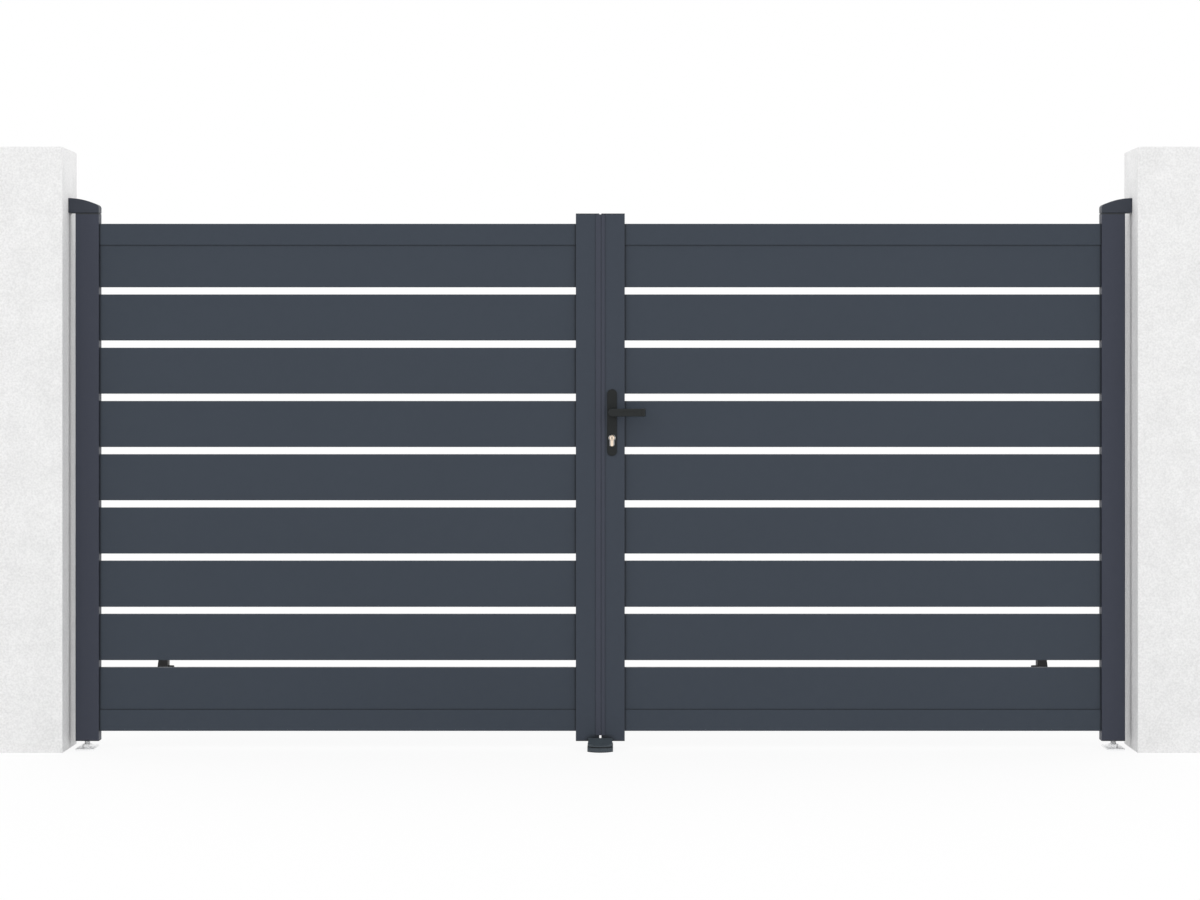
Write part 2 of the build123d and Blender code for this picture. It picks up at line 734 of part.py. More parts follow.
def build_leaf(name, side):
    """The stiles, rails, slats and caps of one leaf."""
    ways = lock_ways() if side > 0 else strike_way()
    save(make_stile(side * meeting_stile_x, side, ways), f"{name}_meeting_stile")
    save(make_stile(side * hinge_stile_x, -side), f"{name}_hinge_stile")
    save(make_end_caps(side), f"{name}_stile_end_caps")
    save(make_rail(side, top_rail_z, groove_up=False), f"{name}_top_rail")
    save(make_rail(side, bottom_rail_z, groove_up=True), f"{name}_bottom_rail")
    for number in range(1, slat_count + 1):
        slat_z = lowest_slat_z + (slat_count - number) * slat_pitch
        save(make_slat(side, slat_z), f"{name}_slat_{number}")


os.makedirs("parts", exist_ok=True)
for name, side in (("left", -1), ("right", 1)):
    build_fixed_pieces(name, side)
    build_leaf(name, side)
save(make_cover_strip(-strip_reach, meeting_gap / 2 - strip_seam), "left_cover_strip")
save(make_cover_strip(meeting_gap / 2, strip_reach), "right_cover_strip")
save(make_ground_stop(), "ground_stop")
save(make_strike_plate(), "left_strike_plate")
save(make_lock_case(), "lock_case")
save(make_lock_cylinder(), "lock_cylinder")
save(make_spindle(), "handle_spindle")
for name, face in (("front", -1), ("back", 1)):
    save(make_handle_plate(face), f"lock_plate_{name}")
    save(make_lever(face), f"lever_handle_{name}")
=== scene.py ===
import math
import bmesh
import bpy
from mathutils import Matrix, Vector


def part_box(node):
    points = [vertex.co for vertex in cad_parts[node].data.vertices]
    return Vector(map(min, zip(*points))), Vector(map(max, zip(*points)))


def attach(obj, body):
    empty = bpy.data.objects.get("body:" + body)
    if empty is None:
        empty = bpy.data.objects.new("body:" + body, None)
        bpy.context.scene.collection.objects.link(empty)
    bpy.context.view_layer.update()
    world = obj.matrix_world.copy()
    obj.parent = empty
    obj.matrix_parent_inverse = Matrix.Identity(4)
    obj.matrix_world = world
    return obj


# The looks of a double-leaf driveway gate. All lengths are in metres, in the frame of the solids:
# X along the gate from its middle, the street on the -Y side, Z up from the ground.

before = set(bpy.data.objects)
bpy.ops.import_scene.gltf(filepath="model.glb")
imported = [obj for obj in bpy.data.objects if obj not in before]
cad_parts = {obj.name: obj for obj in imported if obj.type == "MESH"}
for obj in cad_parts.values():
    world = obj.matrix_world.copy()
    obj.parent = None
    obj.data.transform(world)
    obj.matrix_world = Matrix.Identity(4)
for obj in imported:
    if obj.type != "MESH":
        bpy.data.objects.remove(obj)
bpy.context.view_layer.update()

# Camera
EYE = (0.04, -7.189, 1.035)
LENS = 76.284
SENSOR = 36.0
SHIFT = (-0.01206, -0.0567)

# Sky and floor
WORLD_LEVEL = 0.84
FLOOR_SIZE = 120.0
FLOOR_COLOUR = 0.96
FLOOR_GLOW = 0.88

# Suns: name, strength, direction towards the sun, softness in degrees
SUNS = (
    ("key", 0.36, (-0.9, -0.7, 0.7), 50),
    ("fill", 0.32, (0.9, -0.6, 0.5), 60),
    ("side_left", 0.18, (-1.0, -0.1, 0.35), 40),
    ("side_right", 0.2, (1.0, -0.1, 0.35), 40),
    ("back_left", 0.2, (-0.9, 0.8, 0.6), 60),
    ("back_right", 0.2, (0.9, 0.8, 0.6), 60),
    ("top", 0.16, (0.0, 0.0, 1.0), 40),
)

# Painted shade in joints: its samples, and how open a point is where it is darkest and where it is
# unshaded
CREVICE_SAMPLES = 6
CREVICE_OPENNESS = (0.45, 0.95)

# Shade at the leaves' foot: its reach, and the heights where its fade starts and ends
LOW_SHADE_REACH = 0.016
LOW_SHADE_FADE = (0.039, 0.042)

# The middle of a texture's values, which is spread over the whole range asked for
TEXTURE_MIDDLE = (0.3, 0.7)

# Colours
WALL_WHITE = (0.822, 0.821, 0.82)
COAT = (0.0333, 0.0444, 0.0618)
HINGE_COVER_COAT = (0.0325, 0.0385, 0.053)
GROUND_STOP_COAT = (0.051, 0.064, 0.0755)
# Copies of the coat for the uprights, slightly greyer and lighter: painted light where the uprights catch
# more light
HINGE_STILE_COAT = (0.0368, 0.0425, 0.063)
MEETING_STILE_COAT = (0.0342, 0.0445, 0.0625)
COVER_STRIP_COAT = (0.0392, 0.0455, 0.066)
ZINC = (0.93, 0.935, 0.94)
STAINLESS = (0.58, 0.58, 0.57)
PLATE_GREY = (0.0102, 0.0124, 0.0127)
LEVER_GREY = (0.013, 0.0155, 0.016)
NICKEL = (0.96, 0.8, 0.645)
CASTING_BLACK = (0.011, 0.011, 0.0115)
RUBBER_BLACK = (0.02, 0.02, 0.02)
PLASTIC_GREY = (0.03, 0.034, 0.04)

# The gate's sides along X and its faces along Y, each with its direction
SIDES = {"left": -1, "right": 1}
ENDS = {"front": -1, "back": 1}

# Places on the gate
HINGE_X = 1.45
BRACKET_FACE_X = 1.495
MEETING_FACE_X = 0.003
LOCK_X = 0.033
CYLINDER_Z = 0.877
LEVER_BOSS_Y = 0.0296
LEVER_BOSS_FOOT_Z = 0.9381

# Meshes
RING_POINTS = 48
CORNER_STEPS = 5
SMOOTH_ANGLE = math.radians(35)


# Shader helpers

def start_material(name):
    """A new material, with its node tree and its main shader."""
    material = bpy.data.materials.new(name)
    material.use_nodes = True
    tree = material.node_tree
    return material, tree, tree.nodes["Principled BSDF"]


def place_of(tree, stretch=(1, 1, 1)):
    """The surface point in metres, stretched for grain that runs one way."""
    coordinates = tree.nodes.new("ShaderNodeTexCoord")
    mapping = tree.nodes.new("ShaderNodeMapping")
    mapping.inputs["Scale"].default_value = stretch
    tree.links.new(coordinates.outputs["Object"], mapping.inputs["Vector"])
    return mapping.outputs["Vector"]


def noise(tree, grain, detail=3.0, stretch=(1, 1, 1)):
    """Noise whose blotches are about one grain across, from 0 to 1."""
    texture = tree.nodes.new("ShaderNodeTexNoise")
    texture.inputs["Scale"].default_value = 1 / grain
    texture.inputs["Detail"].default_value = detail
    tree.links.new(place_of(tree, stretch), texture.inputs["Vector"])
    return texture.outputs["Fac"]


def cells(tree, size):
    """Flat cells of one random shade each, as in the spangle of zinc."""
    texture = tree.nodes.new("ShaderNodeTexVoronoi")
    texture.inputs["Scale"].default_value = 1 / size
    tree.links.new(place_of(tree), texture.inputs["Vector"])
    separate = tree.nodes.new("ShaderNodeSeparateColor")
    tree.links.new(texture.outputs["Color"], separate.inputs["Color"])
    return separate.outputs["Red"]


def remap(tree, source, span=(0.0, 1.0), low=0.0, high=1.0):
    """A value's span, stretched to run from low to high and held at both beyond it."""
    start, end = span
    node = tree.nodes.new("ShaderNodeMapRange")
    node.inputs["From Min"].default_value = start
    node.inputs["From Max"].default_value = end
    node.inputs["To Min"].default_value = low
    node.inputs["To Max"].default_value = high
    tree.links.new(source, node.inputs["Value"])
    return node.outputs["Result"]


def spread(tree, source, low, high):
    """The middle of a texture's values, spread from low to high."""
    return remap(tree, source, TEXTURE_MIDDLE, low, high)


def combine(tree, operation, first, second):
    """Two values joined by one operation."""
    node = tree.nodes.new("ShaderNodeMath")
    node.operation = operation
    tree.links.new(first, node.inputs[0])
    tree.links.new(second, node.inputs[1])
    return node.outputs["Value"]


def multiply(tree, first, second):
    """The product of two values."""
    return combine(tree, "MULTIPLY", first, second)


def painted_crevice_shade(tree, reach, darkest):
    """Painted shade: one on an open surface, and down to the darkest value deep in joints and corners."""
    hollow = tree.nodes.new("ShaderNodeAmbientOcclusion")
    hollow.samples = CREVICE_SAMPLES
    hollow.inputs["Distance"].default_value = reach
    return remap(tree, hollow.outputs["AO"], CREVICE_OPENNESS, low=darkest)


def low_shade(tree):
    """The wider shade round the ground stop, and one above the cover strips' foot."""
    separate = tree.nodes.new("ShaderNodeSeparateXYZ")
    tree.links.new(place_of(tree), separate.inputs["Vector"])
    above = remap(tree, separate.outputs["Z"], LOW_SHADE_FADE)
    return combine(tree, "MAXIMUM", painted_crevice_shade(tree, LOW_SHADE_REACH, 0.0), above)


def shade(tree, shader, colour, factor):
    """The base colour, made lighter and darker by a factor near one."""
    scale = tree.nodes.new("ShaderNodeVectorMath")
    scale.operation = "SCALE"
    scale.inputs[0].default_value = colour
    tree.links.new(factor, scale.inputs["Scale"])
    tree.links.new(scale.outputs["Vector"], shader.inputs["Base Color"])


def relief(tree, shader, layers):
    """Bumps on the surface: each layer is a height from 0 to 1 and its depth in metres."""
    normal = None
    for height, depth in layers:
        bump = tree.nodes.new("ShaderNodeBump")
        bump.inputs["Distance"].default_value = depth
        tree.links.new(height, bump.inputs["Height"])
        if normal is not None:
            tree.links.new(normal, bump.inputs["Normal"])
        normal = bump.outputs["Normal"]
    tree.links.new(normal, shader.inputs["Normal"])


def set_surface(shader, roughness=None, specular=None, metallic=None):
    """The shader's even values, where they are given."""
    values = {"Roughness": roughness, "Specular IOR Level": specular, "Metallic": metallic}
    for socket, value in values.items():
        if value is not None:
            shader.inputs[socket].default_value = value


# Materials

def wall_render():
    """Fine white painted render: trowelled clouds, a sandy grain and small pits."""
    material, tree, shader = start_material("white_render")
    clouds = spread(tree, noise(tree, grain=0.06, detail=6.0), 0.97, 1.025)
    speckle = spread(tree, noise(tree, grain=0.0055, detail=5.0), 0.915, 1.08)
    shade(tree, shader, WALL_WHITE, multiply(tree, clouds, speckle))
    trowel = noise(tree, grain=0.025, detail=5.0)
    sand = noise(tree, grain=0.0022, detail=4.0)
    relief(tree, shader, [(trowel, 0.0015), (sand, 0.0008)])
    set_surface(shader, roughness=0.9, specular=0.2)
    return material


def powder_coat(name, colour, roughness=0.5, joint_shade=0.5, joint_reach=0.0035, shaded_low=False):
    """Matt powder coat with its fine sandy texture, and painted shade that darkens it in the joints and,
    where shaded_low is set, low down.
    """
    material, tree, shader = start_material(name)
    clouds = spread(tree, noise(tree, grain=0.35, detail=2.0), 0.985, 1.015)
    sand = spread(tree, noise(tree, grain=0.0011, detail=2.0), 0.93, 1.07)
    # Painted shade: the coat darkens in joints and corners by how little sky they see
    painted_joint_shade = painted_crevice_shade(tree, joint_reach, joint_shade)
    if shaded_low:
        painted_joint_shade = multiply(tree, painted_joint_shade, low_shade(tree))
    shade(tree, shader, colour, multiply(tree, multiply(tree, clouds, sand), painted_joint_shade))
    sheen = spread(tree, noise(tree, grain=0.02), roughness - 0.05, roughness + 0.05)
    tree.links.new(sheen, shader.inputs["Roughness"])
    relief(tree, shader, [(noise(tree, grain=0.0009, detail=2.0), 0.00006)])
    set_surface(shader, specular=0.32)
    return material


def zinc_plate():
    """Bright zinc plate on steel, with a faint spangle."""
    material, tree, shader = start_material("bright_zinc")
    spangle = spread(tree, cells(tree, size=0.004), 0.93, 1.0)
    haze = spread(tree, noise(tree, grain=0.012, detail=4.0), 0.95, 1.03)
    shade(tree, shader, ZINC, multiply(tree, spangle, haze))
    dull = spread(tree, noise(tree, grain=0.006, detail=4.0), 0.32, 0.48)
    tree.links.new(dull, shader.inputs["Roughness"])
    relief(tree, shader, [(noise(tree, grain=0.0015), 0.00004)])
    set_surface(shader, metallic=0.75)
    return material


def brushed_steel():
    """Stainless steel, brushed up and down."""
    material, tree, shader = start_material("brushed_stainless")
    lines = noise(tree, grain=0.0004, detail=2.0, stretch=(1, 1, 0.02))
    shade(tree, shader, STAINLESS, spread(tree, lines, 0.9, 1.08))
    relief(tree, shader, [(lines, 0.00003)])
    set_surface(shader, roughness=0.36, metallic=1.0)
    return material


def dark_anodised(name, colour, roughness):
    """Dark anodised aluminium, satin, with a very fine blasted grain, and painted shade in its grooves
    and corners.
    """
    material, tree, shader = start_material(name)
    blasting = spread(tree, noise(tree, grain=0.0006), 0.9, 1.1)
    handling = spread(tree, noise(tree, grain=0.03), 0.96, 1.04)
    # Painted shade in the grooves and corners
    painted_groove_shade = painted_crevice_shade(tree, reach=0.0015, darkest=0.1)
    shade(tree, shader, colour, multiply(tree, multiply(tree, blasting, handling), painted_groove_shade))
    satin = spread(tree, noise(tree, grain=0.01), roughness - 0.04, roughness + 0.05)
    tree.links.new(satin, shader.inputs["Roughness"])
    relief(tree, shader, [(noise(tree, grain=0.0005, detail=2.0), 0.00002)])
    set_surface(shader, specular=0.25)
    return material


def nickel_brass():
    """Satin nickel plate on brass, warm, with fine upright brushing, and painted shade round its rim and
    in its hollows.
    """
    material, tree, shader = start_material("satin_nickel_brass")
    lines = noise(tree, grain=0.0003, detail=2.0, stretch=(1, 1, 0.05))
    # Painted shade round the plug's rim and in its keyway
    painted_rim_shade = painted_crevice_shade(tree, reach=0.004, darkest=0.04)
    shade(tree, shader, NICKEL, multiply(tree, spread(tree, lines, 0.93, 1.05), painted_rim_shade))
    relief(tree, shader, [(lines, 0.00002)])
    set_surface(shader, roughness=0.3, metallic=1.0)
    return material


def cast_paint():
    """Black paint over a sand casting, with the casting's coarse skin below it."""
    material, tree, shader = start_material("black_cast_paint")
    shade(tree, shader, CASTING_BLACK, spread(tree, noise(tree, grain=0.01, detail=4.0), 0.85, 1.2))
    skin = noise(tree, grain=0.004, detail=5.0)
    paint = noise(tree, grain=0.0012, detail=2.0)
    relief(tree, shader, [(skin, 0.0004), (paint, 0.0001)])
    set_surface(shader, roughness=0.55, specular=0.3)
    return material


def rubber():
    """Black moulded rubber with a dusty bloom."""
    material, tree, shader = start_material("black_rubber")
    shade(tree, shader, RUBBER_BLACK, spread(tree, noise(tree, grain=0.006, detail=5.0), 0.8, 1.35))
    relief(tree, shader, [(noise(tree, grain=0.0018, detail=4.0), 0.00012)])
    set_surface(shader, roughness=0.82, specular=0.25)
    return material


def moulded_plastic():
    """Dark grey moulded plastic with a spark-eroded grain."""
    material, tree, shader = start_material("dark_grey_plastic")
    shade(tree, shader, PLASTIC_GREY, spread(tree, noise(tree, grain=0.008), 0.95, 1.06))
    relief(tree, shader, [(noise(tree, grain=0.0007, detail=2.0), 0.00005)])
    set_surface(shader, roughness=0.6, specular=0.35)
    return material


def make_finishes():
    """One finish for each material slot of the record."""
    return {
        "render": wall_render(),
        "powder_coat": powder_coat("anthracite_coat", COAT, joint_shade=0.0, joint_reach=0.006),
        "hinge_cover": powder_coat("anthracite_cover", HINGE_COVER_COAT, roughness=0.48),
        "ground_stop": powder_coat("anthracite_stop", GROUND_STOP_COAT, roughness=0.55, joint_shade=0.15),
        "zinc_steel": zinc_plate(),
        "stop_black": cast_paint(),
        "buffer_rubber": rubber(),
        "cap_plastic": moulded_plastic(),
        "lock_steel": brushed_steel(),
        "lock_plate": dark_anodised("dark_plate", PLATE_GREY, roughness=0.42),
        "lever": dark_anodised("dark_lever", LEVER_GREY, roughness=0.34),
        "cylinder": nickel_brass(),
    }


def make_upright_copies():
    """Lit copies of the one coat for the uprights, by the end of their names: painted light, slightly
    greyer and lighter, each with its own painted shade in joints.
    """
    return {
        "hinge_stile": powder_coat(
            "anthracite_hinge_stile", HINGE_STILE_COAT, joint_shade=0.1, joint_reach=0.006),
        "meeting_stile": powder_coat(
            "anthracite_meeting_stile", MEETING_STILE_COAT, joint_shade=0.7, shaded_low=True),
        "cover_strip": powder_coat(
            "anthracite_cover_strip", COVER_STRIP_COAT, joint_shade=0.8),
    }


def dress_nodes(finishes):
    """Every solid takes the finish of its own material slot, and the uprights their own lit copies of the
    coat.
    """
    upright_copies = make_upright_copies()
    for name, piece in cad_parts.items():
        upright_copy = next((upright_copies[kind] for kind in upright_copies if name.endswith(kind)), None)
        for holder in piece.material_slots:
            holder.material = upright_copy or finishes[holder.material.name]


# Small pieces, made from rings or from an outline

def mesh_piece(name, points, faces, finishes, slot, body):
    """A piece of these points and faces, smooth but for its sharp edges, riding on a body."""
    mesh = bpy.data.meshes.new(name)
    mesh.from_pydata(points, [], faces)
    work = bmesh.new()
    work.from_mesh(mesh)
    bmesh.ops.recalc_face_normals(work, faces=work.faces)
    work.to_mesh(mesh)
    work.free()
    mesh.polygons.foreach_set("use_smooth", [True] * len(mesh.polygons))
    mesh.set_sharp_from_angle(angle=SMOOTH_ANGLE)
    mesh.materials.append(finishes[slot])
    piece = bpy.data.objects.new(name, mesh)
    bpy.context.scene.collection.objects.link(piece)
    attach(piece, body)


def round_of(radius):
    """A round ring's radius at any angle."""
    return lambda angle: radius


def hexagon_of(across_flats, largest=math.inf):
    """A hexagon's radius at any angle, with its corners turned off at a largest radius."""
    def radius_at(angle):
        turned = (angle + math.pi / 6) % (math.pi / 3) - math.pi / 6
        return min(across_flats / 2 / math.cos(turned), largest)
    return radius_at


def thread_of(core_radius, depth, pitch, height):
    """A threaded ring's radius at any angle: a ridge that winds up by one pitch a turn."""
    def radius_at(angle):
        turn = (height / pitch - angle / (2 * math.pi)) % 1
        return core_radius + depth * (1 - abs(2 * turn - 1))
    return radius_at


def ring_piece(name, rings, origin, outward, finishes, slot, body):
    """A closed piece of rings, each with a radius and a height along the outward direction."""
    place = Matrix.Translation(origin) @ Vector(outward).to_track_quat("Z", "Y").to_matrix().to_4x4()
    points = []
    for radius_at, height in rings:
        for step in range(RING_POINTS):
            angle = 2 * math.pi * step / RING_POINTS
            radius = radius_at(angle)
            points.append(place @ Vector((radius * math.cos(angle), radius * math.sin(angle), height)))
    faces = []
    for ring in range(len(rings) - 1):
        for step in range(RING_POINTS):
            here = ring * RING_POINTS + step
            beside = ring * RING_POINTS + (step + 1) % RING_POINTS
            faces.append((here, beside, beside + RING_POINTS, here + RING_POINTS))
    last = (len(rings) - 1) * RING_POINTS
    faces.append(tuple(reversed(range(RING_POINTS))))
    faces.append(tuple(range(last, last + RING_POINTS)))
    mesh_piece(name, points, faces, finishes, slot, body)


def rounded_rectangle(low_x, high_x, low_y, high_y, radius):
    """The points of a rectangle with rounded corners, in X and Y."""
    corners = ((high_x, high_y, 0), (low_x, high_y, 1), (low_x, low_y, 2), (high_x, low_y, 3))
    points = []
    for x, y, quarter in corners:
        centre_x = x - radius if quarter in (0, 3) else x + radius
        centre_y = y - radius if quarter in (0, 1) else y + radius
        for step in range(CORNER_STEPS + 1):
            angle = math.pi / 2 * (quarter + step / CORNER_STEPS)
            points.append((centre_x + radius * math.cos(angle), centre_y + radius * math.sin(angle)))
    return points


def prism_faces(count):
    """The faces of a prism whose points are its two end outlines, one after the other."""
    faces = [(i, (i + 1) % count, (i + 1) % count + count, i + count) for i in range(count)]
    return faces + [tuple(reversed(range(count))), tuple(range(count, 2 * count))]


def hex_rings(across_flats, height, washer_radius, washer_height):
    """A hexagon screw head with turned-off corners and a shallow dimple, on a flat washer."""
    corner, dimple, dimple_floor = across_flats * 0.535, across_flats * 0.3, across_flats * 0.27
    edge = 0.0006
    return [
        (round_of(washer_radius), 0.0),
        (round_of(washer_radius), washer_height),
        (hexagon_of(across_flats, corner), washer_height),
        (hexagon_of(across_flats, corner), washer_height + height - 2 * edge),
        (hexagon_of(across_flats, across_flats / 2), washer_height + height),
        (round_of(dimple), washer_height + height),
        (round_of(dimple_floor), washer_height + height - edge / 2),
    ]


def socket_rings(head_radius, proud, socket_width, sunk=0.0):
    """A low round screw head with a hexagon socket."""
    largest_edge, socket_depth, least_floor = 0.0005, 0.0025, 0.0001
    edge = min(proud / 2, largest_edge)
    return [
        (round_of(head_radius), -sunk),
        (round_of(head_radius), proud - edge),
        (round_of(head_radius - edge), proud),
        (hexagon_of(socket_width + edge), proud),
        (hexagon_of(socket_width), proud - edge),
        (hexagon_of(socket_width), max(proud - socket_depth, least_floor - sunk)),
    ]


def plug_rings(radius, proud):
    """A flat plastic plug with an eased edge."""
    edge = proud / 2
    return [
        (round_of(radius), 0.0),
        (round_of(radius), proud - edge),
        (round_of(radius - edge), proud),
    ]


# Detail pieces

def middle_of(node):
    """The middle of a solid's box at rest."""
    low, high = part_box(node)
    return (low + high) / 2


def ends_of(low, high, from_end):
    """The names and heights of two screws, near the top and near the bottom of a box."""
    return (("top", high.z - from_end), ("bottom", low.z + from_end))


def floor_pivot_screws(finishes):
    """Two flat socket screws hold each floor plate down."""
    plate_top, from_middle = 0.004, 0.031
    rings = socket_rings(head_radius=0.0052, proud=0.0006, socket_width=0.005, sunk=0.003)
    for side in SIDES:
        centre = middle_of(f"{side}_floor_pivot")
        for end, way in ENDS.items():
            origin = (centre.x, centre.y + way * from_middle, plate_top)
            ring_piece(f"{side}_pivot_screw_{end}", rings, origin, (0, 0, 1),
                       finishes, "zinc_steel", "pillars")


def stud_threads(finishes):
    """The thread on each floor pivot's stud, between its nut and the leaf."""
    foot_z, top_z = 0.012, 0.0215
    core_radius, depth, pitch = 0.0069, 0.001, 0.002
    steps = 30
    rings = []
    for step in range(steps + 1):
        height = (top_z - foot_z) * step / steps
        rings.append((thread_of(core_radius, depth, pitch, height), height))
    for side in SIDES:
        centre = middle_of(f"{side}_floor_pivot")
        ring_piece(f"{side}_stud_thread", rings, (centre.x, centre.y, foot_z), (0, 0, 1),
                   finishes, "zinc_steel", "pillars")


def hinge_pads(finishes):
    """A thin dark pad on the top of each hinge stile, under the hinge cover and round the pin."""
    inset, thickness, corner, hole_radius = 0.001, 0.0014, 0.002, 0.0075
    for side, sign in SIDES.items():
        low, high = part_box(f"{side}_hinge_stile")
        foot_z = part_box(f"{side}_stile_end_caps")[1].z
        top_z = foot_z + thickness
        pin_x = sign * HINGE_X
        outline = rounded_rectangle(low.x + inset, high.x - inset, low.y + inset, high.y - inset, corner)
        hole = []
        for x, y in outline:
            angle = math.atan2(y, x - pin_x)
            hole.append((pin_x + hole_radius * math.cos(angle), hole_radius * math.sin(angle)))
        loops = ((outline, foot_z), (outline, top_z), (hole, top_z), (hole, foot_z))
        points = [(x, y, z) for loop, z in loops for x, y in loop]
        count = len(outline)
        faces = []
        for loop in range(len(loops)):
            here, above = loop * count, (loop + 1) % len(loops) * count
            for i in range(count):
                beside = (i + 1) % count
                faces.append((here + i, here + beside, above + beside, above + i))
        mesh_piece(f"{side}_hinge_pad", points, faces, finishes, "cap_plastic", f"{side}_leaf")


def keyway_shade_blocks(finishes):
    """A black block a little below the face of each plug: painted shade that stands for the dark depth of
    the keyway.
    """
    low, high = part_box("lock_cylinder")
    middle_x = (low.x + high.x) / 2
    half_width, half_height = 0.0011, 0.00425
    near, far = 0.0012, 0.006
    shares = [(-1, -1), (1, -1), (1, 0.1), (0.2, 0.1), (0.2, 0.35), (1, 0.35), (1, 1), (-1, 1)]
    outline = [(middle_x + a * half_width, CYLINDER_Z + b * half_height) for a, b in shares]
    for end, face_y, inward in (("front", low.y, 1), ("back", high.y, -1)):
        points = [(x, face_y + inward * depth, z) for depth in (near, far) for x, z in outline]
        mesh_piece(f"keyway_{end}", points, prism_faces(len(outline)),
                   finishes, "buffer_rubber", "right_leaf")


def grub_screws(finishes):
    """The small screw under each lever's boss that holds it on the spindle."""
    rings = socket_rings(head_radius=0.0022, proud=0.0004, socket_width=0.0016)
    for end, way in ENDS.items():
        origin = (LOCK_X, way * LEVER_BOSS_Y, LEVER_BOSS_FOOT_Z)
        ring_piece(f"lever_grub_screw_{end}", rings, origin, (0, 0, -1),
                   finishes, "lock_steel", "lever_handle")


def leaf_stop_screws(finishes):
    """Two hexagon screws with washers hold each leaf stop's foot plate down."""
    plate_top, from_end, from_middle = 0.006, 0.014, 0.02
    rings = hex_rings(across_flats=0.013, height=0.0065, washer_radius=0.0095, washer_height=0.0016)
    for side, sign in SIDES.items():
        low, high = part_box(f"{side}_leaf_stop")
        screw_x = (low.x if sign < 0 else high.x) - sign * from_end
        for end, way in ENDS.items():
            origin = (screw_x, (low.y + high.y) / 2 + way * from_middle, plate_top)
            ring_piece(f"{side}_leaf_stop_screw_{end}", rings, origin, (0, 0, 1),
                       finishes, "zinc_steel", "pillars")


def ground_stop_screws(finishes):
    """Two low socket screws hold the ground stop's heel down."""
    heel_top, heel_y, from_middle = 0.016, 0.016, 0.022
    rings = socket_rings(head_radius=0.0065, proud=0.0012, socket_width=0.006, sunk=0.0014)
    for side, sign in SIDES.items():
        origin = (sign * from_middle, heel_y, heel_top)
        ring_piece(f"ground_stop_screw_{side}", rings, origin, (0, 0, 1),
                   finishes, "zinc_steel", "pillars")


def bracket_screws(finishes):
    """Two screws hold each top hinge bracket to its pillar, inside the cover."""
    below_top, from_middle = 0.015, 0.009
    rings = socket_rings(head_radius=0.0068, proud=0.004, socket_width=0.006)
    for side, sign in SIDES.items():
        top_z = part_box(f"{side}_top_hinge_bracket")[1].z
        for end, way in ENDS.items():
            origin = (sign * BRACKET_FACE_X, way * from_middle, top_z - below_top)
            ring_piece(f"{side}_bracket_screw_{end}", rings, origin, (-sign, 0, 0),
                       finishes, "zinc_steel", "pillars")


def lock_screws(finishes):
    """Screws of the lock's face plate, of the strike plate and of the back handle plate."""
    plate_screw = socket_rings(head_radius=0.0038, proud=0.0005, socket_width=0.0025)
    cylinder_screw = socket_rings(head_radius=0.004, proud=0.0005, socket_width=0.003)
    handle_screw = socket_rings(head_radius=0.0042, proud=0.0008, socket_width=0.003)
    low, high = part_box("lock_case")
    for name, z in ends_of(low, high, from_end=0.008):
        ring_piece(f"face_plate_screw_{name}", plate_screw, (MEETING_FACE_X, 0, z), (-1, 0, 0),
                   finishes, "lock_steel", "right_leaf")
    ring_piece("cylinder_screw", cylinder_screw, (MEETING_FACE_X, 0, CYLINDER_Z), (-1, 0, 0),
               finishes, "lock_steel", "right_leaf")
    low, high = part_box("left_strike_plate")
    for name, z in ends_of(low, high, from_end=0.008):
        ring_piece(f"strike_screw_{name}", plate_screw, (-MEETING_FACE_X, 0, z), (1, 0, 0),
                   finishes, "lock_steel", "left_leaf")
    low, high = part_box("lock_plate_back")
    for name, z in ends_of(low, high, from_end=0.012):
        ring_piece(f"handle_plate_screw_{name}", handle_screw, (LOCK_X, high.y, z), (0, 1, 0),
                   finishes, "lock_plate", "right_leaf")


def stile_plugs(finishes):
    """Round plugs over the screws that hold the rails, in the outer faces of the stiles."""
    from_middle = 0.014
    rings = plug_rings(radius=0.006, proud=0.0006)
    for side, sign in SIDES.items():
        low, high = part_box(f"{side}_hinge_stile")
        outer_x = low.x if sign < 0 else high.x
        for rail in ("top_rail", "bottom_rail"):
            height = middle_of(f"{side}_{rail}").z
            for name, way in (("upper", 1), ("lower", -1)):
                origin = (outer_x, 0, height + way * from_middle)
                ring_piece(f"{side}_{rail}_plug_{name}", rings, origin, (sign, 0, 0),
                           finishes, "cap_plastic", f"{side}_leaf")


def buffer_screws(finishes):
    """The screw at the bottom of each rubber buffer's recess."""
    recess_depth = 0.004
    rings = socket_rings(head_radius=0.0045, proud=0.0025, socket_width=0.004)
    for side, sign in SIDES.items():
        low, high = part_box(f"{side}_stop_buffer")
        seat_x = (high.x if sign < 0 else low.x) + sign * recess_depth
        seat = Vector((seat_x, (low.y + high.y) / 2, (low.z + high.z) / 2))
        ring_piece(f"{side}_buffer_screw", rings, seat, (-sign, 0, 0),
                   finishes, "zinc_steel", "pillars")


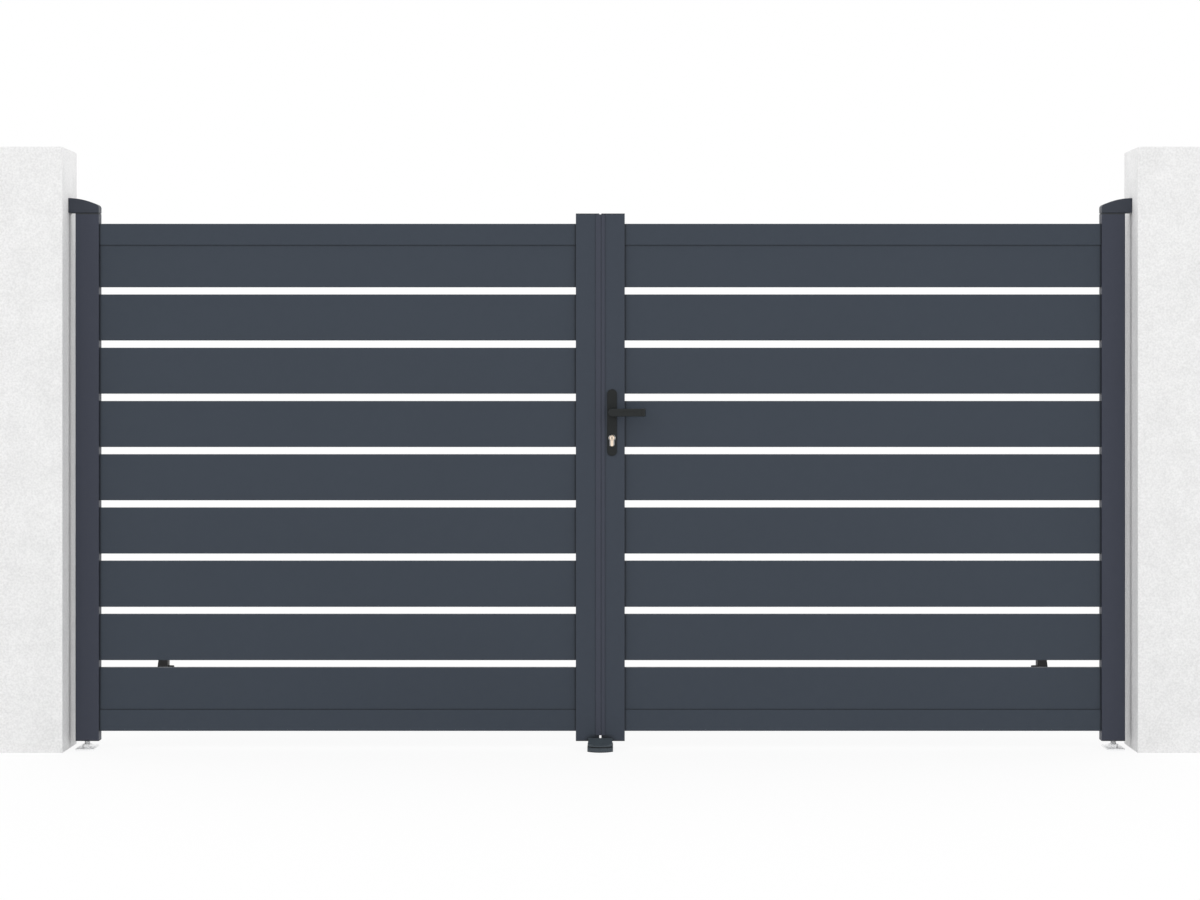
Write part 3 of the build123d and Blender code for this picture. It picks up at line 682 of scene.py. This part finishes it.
def meeting_seal(finishes):
    """A thin grey lip on the right leaf closes the meeting gap behind the cover strips."""
    low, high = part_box("right_cover_strip")
    root_x, nose_x, tip_x = MEETING_FACE_X, 0.0024, -0.0026
    stem_x, neck_x = root_x - 0.0009, root_x - 0.0012
    nose_y, back_y = low.y + 0.0004, high.y + 0.001
    tip_round, lip_start, lip_end, depth = 0.0006, 0.0012, 0.0026, 0.004
    outline = [
        (root_x, nose_y),
        (nose_x, nose_y),
        (nose_x, back_y),
        (stem_x, back_y),
        (neck_x, back_y + lip_start),
        (tip_x + tip_round, back_y + tip_round),
        (tip_x, back_y + 2 * tip_round),
        (tip_x + tip_round, back_y + 3 * tip_round),
        (neck_x, back_y + lip_end),
        (stem_x, back_y + depth),
        (root_x, back_y + depth),
    ]
    points = [(x, y, z) for z in (low.z, high.z) for x, y in outline]
    mesh_piece("meeting_seal", points, prism_faces(len(outline)), finishes, "powder_coat", "right_leaf")


# Camera, floor and light

def make_camera():
    """The photograph's view: level and square-on, just right of the middle, with a shifted lens."""
    data = bpy.data.cameras.new("camera")
    data.lens = LENS
    data.sensor_width = SENSOR
    data.shift_x, data.shift_y = SHIFT
    camera = bpy.data.objects.new("camera", data)
    camera.location = EYE
    camera.rotation_euler = (math.pi / 2, 0, 0)
    bpy.context.scene.collection.objects.link(camera)
    bpy.context.scene.camera = camera


def seen_directly(tree):
    """One where the camera, a reflection or a see-through surface looks, and zero for plain light."""
    path = tree.nodes.new("ShaderNodeLightPath")
    total = path.outputs["Is Camera Ray"]
    for kind in ("Is Glossy Ray", "Is Transmission Ray"):
        total = combine(tree, "MAXIMUM", total, path.outputs[kind])
    return total


def make_world():
    """An even pale sky that shows as plain white."""
    world = bpy.data.worlds.new("studio")
    bpy.context.scene.world = world
    world.use_nodes = True
    tree = world.node_tree
    background = tree.nodes["Background"]
    background.inputs["Color"].default_value = (1, 1, 1, 1)
    level = remap(tree, seen_directly(tree), low=WORLD_LEVEL)
    tree.links.new(level, background.inputs["Strength"])


def make_floor():
    """A white floor that keeps a faint shadow of the gate."""
    half = FLOOR_SIZE / 2
    corners = [(-half, -half, 0), (half, -half, 0), (half, half, 0), (-half, half, 0)]
    mesh = bpy.data.meshes.new("floor")
    mesh.from_pydata(corners, [], [(0, 1, 2, 3)])
    floor = bpy.data.objects.new("floor", mesh)
    bpy.context.scene.collection.objects.link(floor)
    material, tree, shader = start_material("studio_floor")
    shader.inputs["Base Color"].default_value = (FLOOR_COLOUR, FLOOR_COLOUR, FLOOR_COLOUR, 1)
    set_surface(shader, roughness=1.0, specular=0.0)
    glow = tree.nodes.new("ShaderNodeEmission")
    share = tree.nodes.new("ShaderNodeMath")
    share.operation = "MULTIPLY"
    share.inputs[1].default_value = FLOOR_GLOW
    tree.links.new(seen_directly(tree), share.inputs[0])
    mix = tree.nodes.new("ShaderNodeMixShader")
    tree.links.new(share.outputs["Value"], mix.inputs["Fac"])
    tree.links.new(shader.outputs["BSDF"], mix.inputs[1])
    tree.links.new(glow.outputs["Emission"], mix.inputs[2])
    tree.links.new(mix.outputs["Shader"], tree.nodes["Material Output"].inputs["Surface"])
    mesh.materials.append(material)


def make_lights():
    """Broad soft light from above, from both sides of the street and from behind."""
    for name, strength, direction, softness in SUNS:
        data = bpy.data.lights.new(name, "SUN")
        data.energy = strength
        data.angle = math.radians(softness)
        lamp = bpy.data.objects.new(name, data)
        lamp.rotation_euler = Vector(direction).to_track_quat("Z", "Y").to_euler()
        bpy.context.scene.collection.objects.link(lamp)


finishes = make_finishes()
dress_nodes(finishes)
floor_pivot_screws(finishes)
stud_threads(finishes)
hinge_pads(finishes)
keyway_shade_blocks(finishes)
grub_screws(finishes)
leaf_stop_screws(finishes)
ground_stop_screws(finishes)
bracket_screws(finishes)
lock_screws(finishes)
stile_plugs(finishes)
buffer_screws(finishes)
meeting_seal(finishes)
make_camera()
make_world()
make_floor()
make_lights()
bpy.context.scene.view_settings.view_transform = "Standard"
